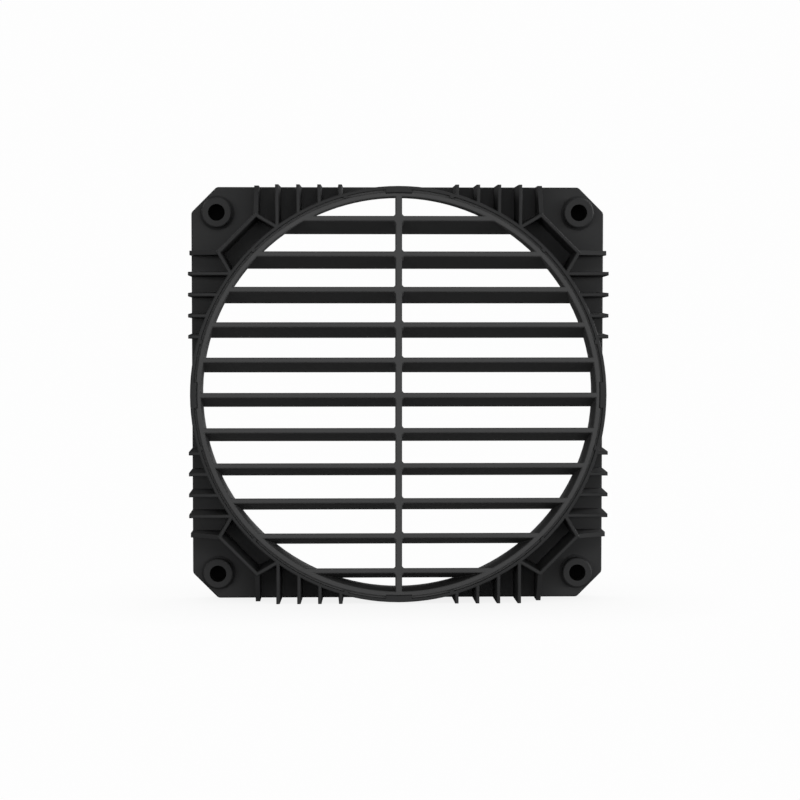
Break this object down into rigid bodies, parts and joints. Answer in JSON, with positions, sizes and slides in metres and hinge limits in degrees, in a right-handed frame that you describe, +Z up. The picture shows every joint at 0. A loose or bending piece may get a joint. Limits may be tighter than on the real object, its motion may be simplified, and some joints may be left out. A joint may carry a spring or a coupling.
{
  "type": "fan air guide grille",
  "caption": "Square fan mounting frame with a ribbed round collar and a snap-in louvre insert that guides the air.",
  "frame": {"origin": "centre of the four screw holes, on the flat rear face of the plate", "axes": "-Y towards the visible side with the louvres, +Z up, +X to the right as seen from the visible side"},
  "size_m": [0.12, 0.0155, 0.12],
  "materials": {
    "frame_plastic": "fine matt moulded",
    "louvre_plastic": "fine matt moulded"
  },
  "bodies": {
    "root": {"mounting_frame": "frame_plastic", "louvre_insert": "louvre_plastic"}
  },
  "joints": []
}
